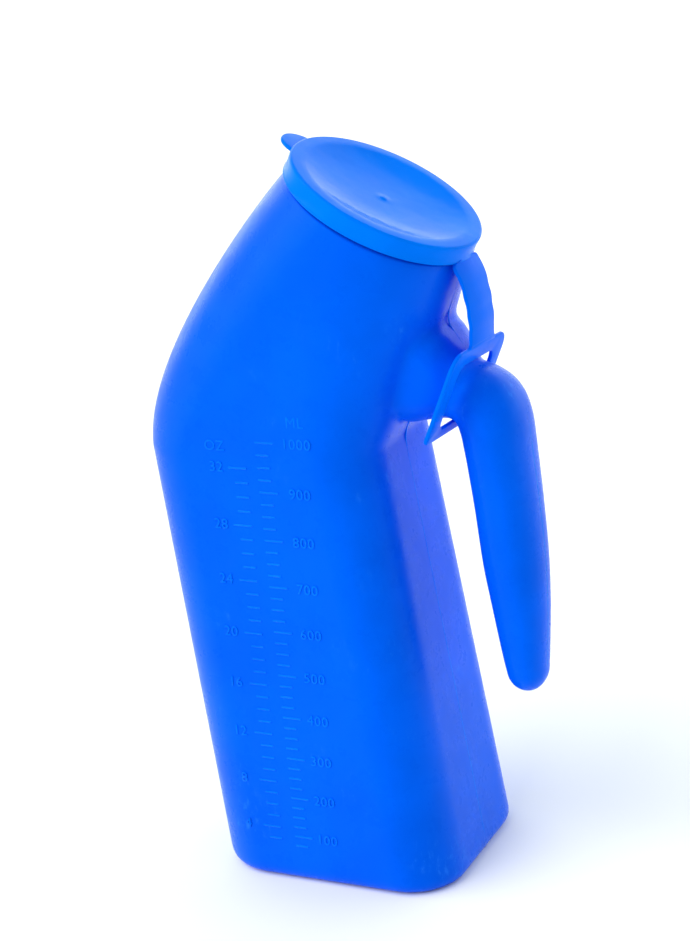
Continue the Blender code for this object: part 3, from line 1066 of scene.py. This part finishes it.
@dataclass
class VolumeScale:
    """Raised marks and numbers on the near side, spaced by the volume that the body holds."""

    shell: BottleShell
    full_volume: float = 1000.0
    full_height: float = 0.1646
    tick_half_height: float = 0.00040
    relief: float = 0.00022
    short_tick: float = 0.0049
    long_tick: float = 0.0070
    digit_height: float = 0.0037
    label_rise: float = 0.0075
    text_size: float = 1.40
    text_spacing: float = 1.08
    text_bevel: float = 0.00006
    weld: float = 0.000004
    slice_height: float = 0.0005
    millilitre: float = 1e-6

    def height_of(self, volume: float) -> float:
        """The height at which the body holds a volume in millilitres."""
        return self.full_height * self.raw_height(volume) / self.raw_height(self.full_volume)

    def raw_height(self, volume: float) -> float:
        """The same from the section's area alone, filled in thin slices.

        Args:
            volume: the contents in millilitres.

        Returns:
            The height above the table.
        """
        height = self.shell.recess + self.shell.floor
        left = volume * self.millilitre
        while left > 0:
            area = self.shell.section_area(height)
            step = min(self.slice_height, left / area)
            left -= area * step
            height += step
        return height

    def on_side(self, x: float, z: float, proud: float = 0.0) -> Vector:
        """A point of the near side wall, at x from the foot's centre.

        Args:
            x: distance from the foot's centre.
            z: height.
            proud: how far out of the wall.

        Returns:
            The point in the row frame.
        """
        share = z / self.shell.bend_height
        half = (self.shell.base_width + (self.shell.bend_width - self.shell.base_width) * share) / 2
        return Vector((self.shell.anchors.base_x + x, -half - proud, z))

    def column(self, units: Units) -> list:
        """Every mark of one scale.

        Args:
            units: which scale.

        Returns:
            Tuples of x, z, length and the number beside the mark, or None.
        """
        row = SCALE_ROWS[units]
        marks = []
        for number in range(row.first, row.last + 1, row.every):
            z = self.height_of(number * units.value)
            major = number % row.major == 0
            length = self.long_tick if major else self.short_tick
            edge = row.edge + row.lean * z
            marks.append((edge + row.side * length / 2, z, length, number if major else None))
        return marks

    def tick_tree(self, material: bpy.types.Material) -> NodeTree:
        """Half-round bars set on points, as long as each point's own attribute says.

        Args:
            material: the bars' finish.

        Returns:
            The finished tree.
        """
        tree = NodeTree("scale_ticks")
        tree.value("Tick Half Height", self.tick_half_height)
        tree.value("Relief", self.relief)
        bar = tree.add("GeometryNodeCurvePrimitiveLine", Start=(-0.5, 0.0, 0.0), End=(0.5, 0.0, 0.0))
        profile = tree.add(
            "GeometryNodeCurvePrimitiveCircle", Resolution=12, Radius=tree.source.outputs["Tick Half Height"],
        )
        solid = tree.add(
            "GeometryNodeCurveToMesh", Curve=bar.outputs[0], Profile_Curve=profile.outputs[0], Fill_Caps=True,
        )
        length = tree.add("GeometryNodeInputNamedAttribute", Name="tick_length")
        ratio = tree.tree.nodes.new("ShaderNodeMath")
        ratio.operation = "DIVIDE"
        tree.tree.links.new(tree.source.outputs["Relief"], ratio.inputs[0])
        tree.tree.links.new(tree.source.outputs["Tick Half Height"], ratio.inputs[1])
        scale = tree.tree.nodes.new("ShaderNodeCombineXYZ")
        tree.tree.links.new(length.outputs[0], scale.inputs[0])
        tree.tree.links.new(ratio.outputs[0], scale.inputs[1])
        scale.inputs[2].default_value = 1.0
        bars = tree.add(
            "GeometryNodeInstanceOnPoints", Points=tree.source.outputs["Geometry"],
            Instance=solid.outputs[0], Scale=scale.outputs[0],
        )
        tree.finish(bars.outputs[0], material)
        return tree

    def text(self, words: str, x: float, z: float) -> bmesh.types.BMesh:
        """Raised lettering, centred on a point of the side wall.

        Args:
            words: a number or a unit.
            x: where its middle is.
            z: where its middle is.

        Returns:
            The solid letters.
        """
        curve = bpy.data.curves.new("scale_text", "FONT")
        curve.body = words
        curve.align_x = "CENTER"
        curve.align_y = "CENTER"
        curve.size = self.digit_height * self.text_size
        curve.space_character = self.text_spacing
        curve.extrude = self.relief
        curve.bevel_depth = self.text_bevel
        curve.bevel_resolution = 1
        curve.resolution_u = 4
        letters = bpy.data.objects.new("scale_text", curve)
        bpy.context.scene.collection.objects.link(letters)
        bm = bmesh.new()
        bm.from_mesh(baked(letters, "scale_text"))
        bmesh.ops.remove_doubles(bm, verts=bm.verts, dist=self.weld)
        bmesh.ops.recalc_face_normals(bm, faces=bm.faces)
        lean = math.atan2(self.shell.base_width - self.shell.bend_width, 2 * self.shell.bend_height)
        turn = Matrix.Rotation(math.radians(90.0) - lean, 4, "X")
        bm.transform(Matrix.Translation(self.on_side(x, z)) @ turn)
        return bm

    def build(self, material: bpy.types.Material) -> None:
        """Make the marks and the numbers of both scales.

        Args:
            material: their finish, a paler blue that paints their highlight.
        """
        numbers = bmesh.new()
        texts = []
        points = bmesh.new()
        lengths = []
        for units, row in SCALE_ROWS.items():
            marks = self.column(units)
            for x, z, length, number in marks:
                points.verts.new(self.on_side(x, z))
                lengths.append(length)
                if number is not None:
                    texts.append((str(number), row.digit_x, z))
            texts.append((row.label, row.digit_x, marks[-1][1] + self.label_rise))
        for words, x, z in texts:
            numbers.from_mesh(mesh_from(self.text(words, x, z), "letters"))
        dots = mesh_from(points, "tick_points")
        dots.attributes.new("tick_length", "FLOAT", "POINT").data.foreach_set("value", lengths)
        ticks = self.tick_tree(material).run(dots, "scale_ticks")
        ticks.data.shade_smooth()
        dress(ticks, material, Body.BOTTLE)
        mesh = mesh_from(numbers, "scale_numbers")
        mesh.shade_smooth()
        mesh.set_sharp_from_angle(angle=SMALL_SHARP)
        dress(link(mesh, "scale_numbers"), material, Body.BOTTLE)


# ---- parting line -------------------------------------------------------------------------------
@dataclass
class PartingLine:
    """The thin ridge that the mould's two halves leave in the plane of symmetry."""

    anchors: Anchors
    half_width: float = 0.00026
    sunk: float = 0.00016
    top_depth: float = 0.0100
    spacing: float = 0.0020
    worn_reach: float = 0.0040
    widest_gap: float = 3.0

    def outline(self, skin: bmesh.types.BMesh) -> list:
        """Where the outer skin crosses the plane of symmetry.

        Args:
            skin: the closed outer skin.

        Returns:
            The crossing's points in order.
        """
        cut = bmesh.ops.bisect_plane(
            skin, geom=skin.verts[:] + skin.edges[:] + skin.faces[:],
            plane_co=(0.0, 0.0, 0.0), plane_no=(0.0, 1.0, 0.0), clear_outer=True,
        )["geom_cut"]
        edges = [item for item in cut if isinstance(item, bmesh.types.BMEdge)]
        ring = set(edges)
        start = max((v for e in edges for v in e.verts), key=lambda v: v.co.z)
        walk = [start]
        edge = next(e for e in start.link_edges if e in ring)
        while True:
            ring.discard(edge)
            walk.append(edge.other_vert(walk[-1]))
            following = [e for e in walk[-1].link_edges if e in ring]
            if not following:
                break
            edge = following[0]
        return [vertex.co.copy() for vertex in walk]

    def inset(self, points: list) -> list:
        """The same path drawn into the skin, so that only the ridge's crown stands proud.

        Args:
            points: the path on the skin.

        Returns:
            The path just inside the skin.
        """
        turning = sum(a.x * b.z - b.x * a.z for a, b in zip(points, points[1:] + points[:1]))
        side = math.copysign(self.sunk, turning)
        moved = []
        for before, point, after in zip(points[:1] + points, points, points[1:] + points[-1:]):
            along = (after - before).normalized()
            moved.append(point + Vector((-along.z, 0.0, along.x)) * side)
        return moved

    def worn(self, point: Vector) -> bool:
        """Whether a point lies where the loop plate rubs the ridge off the stem.

        Args:
            point: a point of the path.

        Returns:
            True where the ridge is left out.
        """
        plate = LoopPlate(self.anchors)
        face = plate.point(0.0, 0.0, 0.0)
        normal = plate.point(0.0, 0.0, 1.0) - face
        return abs((point - face).dot(normal)) < self.worn_reach and abs(point.z - face.z) < plate.above

    def even(self, points: list) -> list:
        """The same outline with evenly spaced points, eased twice.

        Args:
            points: the path as cut.

        Returns:
            The eased path.
        """
        kept = [points[0]]
        for point in points[1:]:
            if (point - kept[-1]).length >= self.spacing:
                kept.append(point)
        for _ in range(2):
            inner = [(a + b * 2 + c) / 4 for a, b, c in zip(kept, kept[1:], kept[2:])]
            kept = [kept[0], *inner, kept[-1]]
        return kept

    def build(self, skin: bmesh.types.BMesh, material: bpy.types.Material) -> None:
        """Lay the ridge on the skin, below the neck's rim.

        Args:
            skin: the closed outer skin.
            material: the ridge's finish, a paler blue that paints its highlight.
        """
        shell = BottleShell(self.anchors)
        points = [p for p in self.even(self.outline(skin)) if shell.depth_of(p) > self.top_depth]
        points = [p for p in points if not self.worn(p)]
        points = self.inset(points)
        bm = bmesh.new()
        verts = [bm.verts.new((p.x, 0.0, p.z)) for p in points]
        for first, second in zip(verts, verts[1:]):
            if (first.co - second.co).length < self.spacing * self.widest_gap:
                bm.edges.new((first, second))
        tree = NodeTree("parting_ridge")
        tree.value("Half Width", self.half_width)
        curve = tree.add("GeometryNodeMeshToCurve", Mesh=tree.source.outputs["Geometry"])
        profile = tree.add(
            "GeometryNodeCurvePrimitiveCircle", Resolution=8, Radius=tree.source.outputs["Half Width"],
        )
        ridge = tree.add(
            "GeometryNodeCurveToMesh",
            Curve=curve.outputs[0], Profile_Curve=profile.outputs[0], Fill_Caps=True,
        )
        tree.finish(ridge.outputs[0], material)
        piece = tree.run(mesh_from(bm, "parting_path"), "parting_line")
        piece.data.shade_smooth()
        dress(piece, material, Body.BOTTLE)


# ---- lid ----------------------------------------------------------------------------------------
@dataclass
class SnapLid:
    """The cap: recessed dish with its gate mark, rounded rim, lipped skirt and thumb tab."""

    anchors: Anchors
    radius: float = 0.0346
    skirt_depth: float = 0.0069
    skirt_inner: float = 0.0333
    thickness: float = 0.0014
    dish_radius: float = 0.0270
    dish_depth: float = 0.0032
    dish_power: float = 2.3
    hub_radius: float = 0.0040
    tab_radius: float = 0.0075
    tab_depth: float = 0.0016
    tab_thickness: float = 0.0014
    root_radius: float = 0.03345
    segments: int = 160
    lip: float = 0.0004
    top_ease: float = 0.00012
    bowl_steps: int = 26
    bowl_reach: float = 0.0026
    tab_turn: int = 15
    tab_steps: int = 32
    tab_softness: float = 0.8

    def ring(self, radius: float, depth: float) -> list:
        """A ring of the turned cap.

        Args:
            radius: distance from the lid's axis.
            depth: distance below the lid's top.

        Returns:
            The ring's points.
        """
        points = []
        for step in range(self.segments):
            angle = 2 * math.pi * step / self.segments
            points.append(self.anchors.lid_point(radius * math.cos(angle), depth, radius * math.sin(angle)))
        return points

    def fillet(
        self, radius: float, depth: float, size: float, start: float, end: float, steps: int = 5,
    ) -> list:
        """Points of the profile round a corner.

        Args:
            radius: the fillet's centre, from the axis.
            depth: the fillet's centre, below the top.
            size: its radius.
            start: first angle in degrees, 0 outwards and 90 upwards.
            end: last angle.
            steps: pieces.

        Returns:
            (radius, depth) pairs.
        """
        pairs = []
        for step in range(steps + 1):
            angle = math.radians(start + (end - start) * step / steps)
            pairs.append((radius + size * math.cos(angle), depth - size * math.sin(angle)))
        return pairs

    def profile(self) -> list:
        """The half section, from the middle of the underside round to the middle of the dish.

        Returns:
            (radius, depth) pairs.
        """
        under = self.dish_depth + self.thickness
        lip = self.lip
        pairs = [(0.0004, under), (0.010, under), (0.020, under)]
        pairs += self.fillet(self.dish_radius - 0.0021, under - 0.0008, 0.0008, -90.0, -30.0)
        pairs += self.fillet(self.dish_radius + 0.0018, self.thickness + 0.0006, 0.0006, 180.0, 90.0)
        pairs += self.fillet(self.skirt_inner - 0.0008, self.thickness + 0.0008, 0.0008, 90.0, 0.0)
        pairs += [(self.skirt_inner, 0.0040)]
        pairs += self.fillet(self.skirt_inner + lip, self.skirt_depth - lip, lip, 180.0, 270.0)
        pairs += self.fillet(self.radius - lip, self.skirt_depth - lip, lip, -90.0, 40.0)
        pairs += [(self.radius - 0.00022, self.skirt_depth - 0.0011), (self.radius - 0.00022, 0.0030)]
        pairs += self.fillet(self.radius - 0.0011, 0.0011, 0.0010, 0.0, 90.0, 8)
        pairs += [(self.radius - 0.0034, self.top_ease)]
        pairs += self.bowl()
        pairs += [(0.0016, self.dish_depth), (0.0013, self.dish_depth - 0.0001)]
        pairs += [(0.0009, self.dish_depth - 0.00035), (0.0004, self.dish_depth - 0.0004)]
        return pairs

    def bowl(self) -> list:
        """The dish from its lip inwards: steepest at the lip and level in the middle.

        Returns:
            (radius, depth) pairs.
        """
        start, top = self.dish_radius + self.bowl_reach, self.top_ease
        pairs = []
        for step in range(self.bowl_steps + 1):
            share = step / self.bowl_steps
            drop = 1.0 - (1.0 - share) ** self.dish_power
            pairs.append((start + (self.hub_radius - start) * share, top + (self.dish_depth - top) * drop))
        return pairs

    def tab(self) -> bmesh.types.BMesh:
        """A half-round tongue with rounded edges, rooted in the skirt.

        Returns:
            The solid tongue.
        """
        half = self.tab_thickness / 2
        rings = []
        for angle in range(-90, 91, self.tab_turn):
            turn = math.radians(angle)
            draw = half * self.tab_softness * (1 - math.cos(turn))
            depth = self.tab_depth + half - half * math.sin(turn)
            ring = []
            for step in range(self.tab_steps + 1):
                around = math.pi * step / self.tab_steps
                reach = self.tab_radius - draw
                radial = -self.root_radius - reach * math.sin(around)
                ring.append(self.anchors.lid_point(radial, depth, reach * math.cos(around)))
            rings.append(ring)
        return loft(rings)

    def build(self, material: bpy.types.Material) -> None:
        """Turn the cap and grow the tab onto it.

        Args:
            material: the lid's finish, its lighter blue partly painted light from above.
        """
        rings = [self.ring(radius, depth) for radius, depth in self.profile()]
        cap = link(mesh_from(loft(rings), "cap"), "cap")
        tab = link(mesh_from(self.tab(), "tab"), "tab")
        union = cap.modifiers.new("tab", "BOOLEAN")
        union.operation = "UNION"
        union.object = tab
        mesh = baked(cap, "lid")
        bpy.data.objects.remove(tab, do_unlink=True)
        mesh.shade_smooth()
        mesh.set_sharp_from_angle(angle=SMALL_SHARP)
        piece = link(mesh, "lid")
        dress(piece, material, Body.LID)
        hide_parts("lid_cap")


# ---- strap and loop plate -----------------------------------------------------------------------
@dataclass
class LoopPlate:
    """The flat frame that hangs round the stem, and its own axes."""

    anchors: Anchors
    tilt: float = math.radians(22.0)
    roll: float = math.radians(5.0)
    thickness: float = 0.0014
    half_width: float = 0.0250
    below: float = 0.0150
    above: float = 0.0176
    corner: float = 0.0062
    low_corner: float = 0.0022
    hole_half_width: float = 0.0165
    hole_below: float = 0.0113
    hole_above: float = 0.0121
    hole_corner: float = 0.0045
    edge: float = 0.00045
    crease: float = math.radians(60.0)

    def point(self, across: float, along: float, out: float) -> Vector:
        """A point of the plate.

        Args:
            across: distance sideways.
            along: distance up the plate from the stem's centre line.
            out: distance out of its rear face.

        Returns:
            The point in the row frame.
        """
        root = self.anchors.hinges[0]
        waist = Vector((WAIST.x + self.anchors.base_x, 0.0, WAIST.z))
        up = Vector((math.sin(self.tilt), 0.0, math.cos(self.tilt)))
        normal = Vector((math.cos(self.tilt), 0.0, -math.sin(self.tilt)))
        pivot = (root - waist).dot(up)
        rolled_across = across * math.cos(self.roll) + (along - pivot) * math.sin(self.roll)
        rolled_along = pivot + (along - pivot) * math.cos(self.roll) - across * math.sin(self.roll)
        return waist + up * rolled_along + normal * out + Vector((0.0, rolled_across, 0.0))

    def root_along(self) -> float:
        """How far up the plate the first hinge line is.

        Returns:
            The distance from the stem's centre line.
        """
        root = self.anchors.hinges[0]
        waist = Vector((WAIST.x + self.anchors.base_x, 0.0, WAIST.z))
        return (root - waist).dot(Vector((math.sin(self.tilt), 0.0, math.cos(self.tilt))))

    def arc(self, centre: tuple, radius: float, start: float, end: float, steps: int = 8) -> list:
        """Points on an arc as (across, along) pairs, angles in degrees from across towards along.

        Args:
            centre: the arc's centre.
            radius: its radius.
            start: the first angle.
            end: the last angle.
            steps: how many pieces it is cut into.

        Returns:
            The pairs.
        """
        pairs = []
        for step in range(steps + 1):
            angle = math.radians(start + (end - start) * step / steps)
            pairs.append((centre[0] + radius * math.cos(angle), centre[1] + radius * math.sin(angle)))
        return pairs

    def outer_outline(self) -> list:
        """The plate's outline, rounded above and nearly square below.

        Returns:
            (across, along) pairs.
        """
        wide, low, high = self.half_width, -self.below, self.above
        soft, tight = self.corner, self.low_corner
        right = self.arc((wide - tight, low + tight), tight, -90.0, 0.0)
        right += self.arc((wide - soft, high - soft), soft, 0.0, 90.0)
        left = [(-across, along) for across, along in reversed(right)]
        return right + left

    def hole_outline(self) -> list:
        """The outline of the hole.

        Returns:
            (across, along) pairs.
        """
        middle = (self.hole_above - self.hole_below) / 2
        half = (self.hole_above + self.hole_below) / 2
        pairs = rounded_loop(self.hole_half_width, half, self.hole_corner, self.hole_corner, 9)
        return [(across, along + middle) for across, along in pairs]

    def build(self, material: bpy.types.Material) -> None:
        """Make the plate with its hole and softened edges.

        Args:
            material: the plate's finish.
        """
        bm = bmesh.new()
        loops = []
        for outline in (self.outer_outline(), self.hole_outline()):
            verts = [bm.verts.new(self.point(a, b, -self.thickness / 2)) for a, b in outline]
            edges = [bm.edges.new((v, w)) for v, w in zip(verts, verts[1:] + verts[:1])]
            loops += edges
        filled = bmesh.ops.triangle_fill(bm, use_beauty=True, edges=loops)
        faces = [item for item in filled["geom"] if isinstance(item, bmesh.types.BMFace)]
        extruded = bmesh.ops.extrude_face_region(bm, geom=faces)
        moved = [item for item in extruded["geom"] if isinstance(item, bmesh.types.BMVert)]
        shift = self.point(0.0, 0.0, self.thickness) - self.point(0.0, 0.0, 0.0)
        bmesh.ops.translate(bm, verts=moved, vec=shift)
        bmesh.ops.recalc_face_normals(bm, faces=bm.faces)
        sharp = [edge for edge in bm.edges if edge.calc_face_angle(0.0) > self.crease]
        bmesh.ops.bevel(bm, geom=sharp, offset=self.edge, segments=3, profile=0.5, affect="EDGES")
        mesh = mesh_from(bm, "loop_plate")
        mesh.shade_smooth()
        mesh.set_sharp_from_angle(angle=SMALL_SHARP)
        piece = link(mesh, "loop_plate")
        dress(piece, material, Body.LOOP)
        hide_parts("tether_loop")


@dataclass
class Strap:
    """The flexible strap, one smooth band in five lengths that each span one hinge."""

    anchors: Anchors
    plate: LoopPlate
    thickness: float = 0.0013
    half_width: float = 0.0100
    edge: float = 0.00045
    root_reach: tuple = (0.0034, 0.0012)
    flare: tuple = (1.30, 1.20, 1.05)
    lid_reach: tuple = ((0.0351, 0.0081), (0.0337, 0.0068), (0.0335, 0.0058))
    lid_taper: tuple = (1.0, 0.9, 0.55)
    draw_in: float = 0.00026
    steps: int = 10
    root_spans: int = 3
    spans_per_link: int = 2

    def spine(self) -> list:
        """The band's centre line with its width direction, as six numbers a point.

        Returns:
            The points to run the band through.
        """
        plate, hinges = self.plate, self.anchors.hinges
        root = plate.root_along()
        sideways = plate.point(1.0, root, 0.0) - plate.point(0.0, root, 0.0)
        level = Vector((0.0, 1.0, 0.0))
        stops = [plate.point(0.0, root - reach, 0.0) for reach in self.root_reach] + [hinges[0]]
        leans = (sideways, sideways, (sideways + level) / 2)
        widths = [lean * flare for lean, flare in zip(leans, self.flare)]
        for number, (hinge, before) in enumerate(zip(hinges[1:4], hinges)):
            drawn = Vector((self.draw_in * number, 0.0, 0.0))
            stops += [(hinge + before) / 2 - drawn, hinge - drawn]
            widths += [level, level]
        middle = (hinges[3] + hinges[4]) / 2 - Vector((self.draw_in * 3, 0.0, 0.0))
        stops += [middle, *[self.anchors.lid_point(*reach) for reach in self.lid_reach]]
        widths += [level, *[level * taper for taper in self.lid_taper]]
        return [Vector((*stop, *width)) for stop, width in zip(stops, widths)]

    def section(self, spot: Vector, ahead: Vector) -> list:
        """A ring across the band.

        Args:
            spot: the centre line's point and its width direction.
            ahead: the way the band runs there.

        Returns:
            The ring's points.
        """
        centre = Vector(spot[0:3])
        side = Vector(spot[3:6])
        width = side.normalized()
        thick = ahead.cross(width).normalized()
        pairs = rounded_loop(self.half_width * side.length, self.thickness / 2, self.edge, self.edge, 4)
        return [centre + width * across + thick * out for across, out in pairs]

    def build(self, material: bpy.types.Material) -> None:
        """Make the five lengths, each spanning one joint.

        Args:
            material: the strap's finish.
        """
        curve = catmull(self.spine(), self.steps)
        rings = []
        for index, spot in enumerate(curve):
            before = curve[max(index - 1, 0)]
            after = curve[min(index + 1, len(curve) - 1)]
            rings.append(self.section(spot, Vector(after[0:3]) - Vector(before[0:3])))
        inner_cuts = [
            self.steps * (self.root_spans + self.spans_per_link * number) for number in range(STRAP_LINKS)
        ]
        cuts = [0, *inner_cuts, len(rings) - 1]
        for number, (low, high) in enumerate(zip(cuts, cuts[1:])):
            mesh = mesh_from(loft(rings[low:high + 1]), f"strap_{number + 1}")
            mesh.shade_smooth()
            mesh.set_sharp_from_angle(angle=BODY_SHARP)
            piece = link(mesh, f"strap_length_{number + 1}")
            dress(piece, material)
            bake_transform(piece)
            if number < STRAP_LINKS:
                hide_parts(f"strap_link_{number + 1}")


# ---- studio -------------------------------------------------------------------------------------
@dataclass
class Studio:
    """A white paper sweep, soft lights and the camera."""

    anchors: Anchors
    azimuth: float = math.radians(26.58)
    elevation: float = math.radians(19.91)
    roll: float = math.radians(4.93)
    distance: float = 0.76478
    target_height: float = 0.120
    lens: float = 82.53
    sensor_width: float = 36.0
    clip_start: float = 0.01
    shift_x: float = -0.00286
    shift_y: float = 0.0677
    floor_reach: float = 14.0
    wall_light: float = 2.4
    paint: tuple = (0.92, 1.0, 1.0, 1.0)
    front_light: float = 0.35
    ceiling_light: float = 0.6
    wall_fade: tuple = (0.0, 0.5)
    ceiling_fade: tuple = (0.58, 0.72)
    key_direction: tuple = (0.55, 0.60, -0.62)
    key_strength: float = 2.8
    key_softness: float = math.radians(70.0)

    def camera(self) -> None:
        """Place the camera."""
        cos_a, sin_a = math.cos(self.azimuth), math.sin(self.azimuth)
        cos_e, sin_e = math.cos(self.elevation), math.sin(self.elevation)
        back = Vector((sin_a * cos_e, -cos_a * cos_e, sin_e))
        right = Vector((cos_a, sin_a, 0.0))
        up = back.cross(right)
        rolled_right = right * math.cos(self.roll) - up * math.sin(self.roll)
        rolled_up = right * math.sin(self.roll) + up * math.cos(self.roll)
        data = bpy.data.cameras.new("camera")
        data.lens = self.lens
        data.sensor_width = self.sensor_width
        data.shift_x = self.shift_x
        data.shift_y = self.shift_y
        data.clip_start = self.clip_start
        obj = bpy.data.objects.new("camera", data)
        spot = Vector((self.anchors.base_x, 0.0, self.target_height)) + back * self.distance
        turn = Matrix((rolled_right, rolled_up, back)).transposed()
        obj.matrix_world = Matrix.Translation(spot) @ turn.to_4x4()
        bpy.context.scene.collection.objects.link(obj)
        bpy.context.scene.camera = obj

    def sun(self) -> None:
        """One broad soft light from the front left."""
        data = bpy.data.lights.new("key", "SUN")
        data.energy = self.key_strength
        data.angle = self.key_softness
        obj = bpy.data.objects.new("key", data)
        obj.rotation_euler = Vector(self.key_direction).to_track_quat("-Z", "Y").to_euler()
        bpy.context.scene.collection.objects.link(obj)

    def sky(self) -> None:
        """White walls behind the bottle, with a darker ceiling and a darker front of the room."""
        world = bpy.data.worlds.new("studio")
        world.use_nodes = True
        nodes, links = world.node_tree.nodes, world.node_tree.links
        place = nodes.new("ShaderNodeTexCoord")
        split = nodes.new("ShaderNodeSeparateXYZ")
        links.new(place.outputs["Generated"], split.inputs[0])

        def fade(source: bpy.types.NodeSocket, low: float, high: float) -> bpy.types.Node:
            """A soft step over one direction of the room.

            Args:
                source: the direction's socket.
                low: where the step starts.
                high: where it ends.

            Returns:
                The node that makes the step.
            """
            node = nodes.new("ShaderNodeMapRange")
            node.interpolation_type = "SMOOTHSTEP"
            node.inputs[1].default_value = low
            node.inputs[2].default_value = high
            links.new(source, node.inputs[0])
            return node

        walls = fade(split.outputs["Y"], *self.wall_fade)
        walls.inputs[3].default_value = self.front_light
        walls.inputs[4].default_value = self.wall_light
        ceiling = fade(split.outputs["Z"], *self.ceiling_fade)
        blend = nodes.new("ShaderNodeMix")
        blend.inputs[3].default_value = self.ceiling_light
        links.new(ceiling.outputs[0], blend.inputs[0])
        links.new(walls.outputs[0], blend.inputs[2])
        links.new(blend.outputs[0], nodes["Background"].inputs["Strength"])
        nodes["Background"].inputs["Color"].default_value = self.paint
        bpy.context.scene.world = world

    def build(self) -> None:
        """Floor, lights, sky and camera."""
        bm = bmesh.new()
        bmesh.ops.create_grid(bm, x_segments=1, y_segments=1, size=self.floor_reach)
        floor = link(mesh_from(bm, "floor"), "floor")
        floor.data.materials.append(StudioPaper().material())
        self.sky()
        self.sun()
        bpy.context.scene.view_settings.view_transform = "Standard"
        self.camera()


def main() -> None:
    """Build every piece and report it."""
    logging.basicConfig(level=logging.INFO, format="%(name)s: %(message)s")
    anchors = Anchors.from_frame()
    satin = SATIN_BLUE.material()
    # The lid's lighter blue is partly painted light from above.
    gloss = LID_BLUE_PAINTED_TOPLIGHT.material()
    Studio(anchors).build()
    shell = BottleShell(anchors)
    skin = shell.build(satin)
    # The parting ridge's paler blue is a painted highlight.
    PartingLine(anchors).build(skin, RIDGE_HIGHLIGHT_BLUE.material())
    # The scale's paler blue is a painted highlight.
    VolumeScale(shell).build(MARK_HIGHLIGHT_BLUE.material())
    SnapLid(anchors).build(gloss)
    plate = LoopPlate(anchors)
    supple = STRAP_BLUE.material()
    plate.build(supple)
    Strap(anchors, plate).build(supple)


if __name__ == "__main__":
    main()
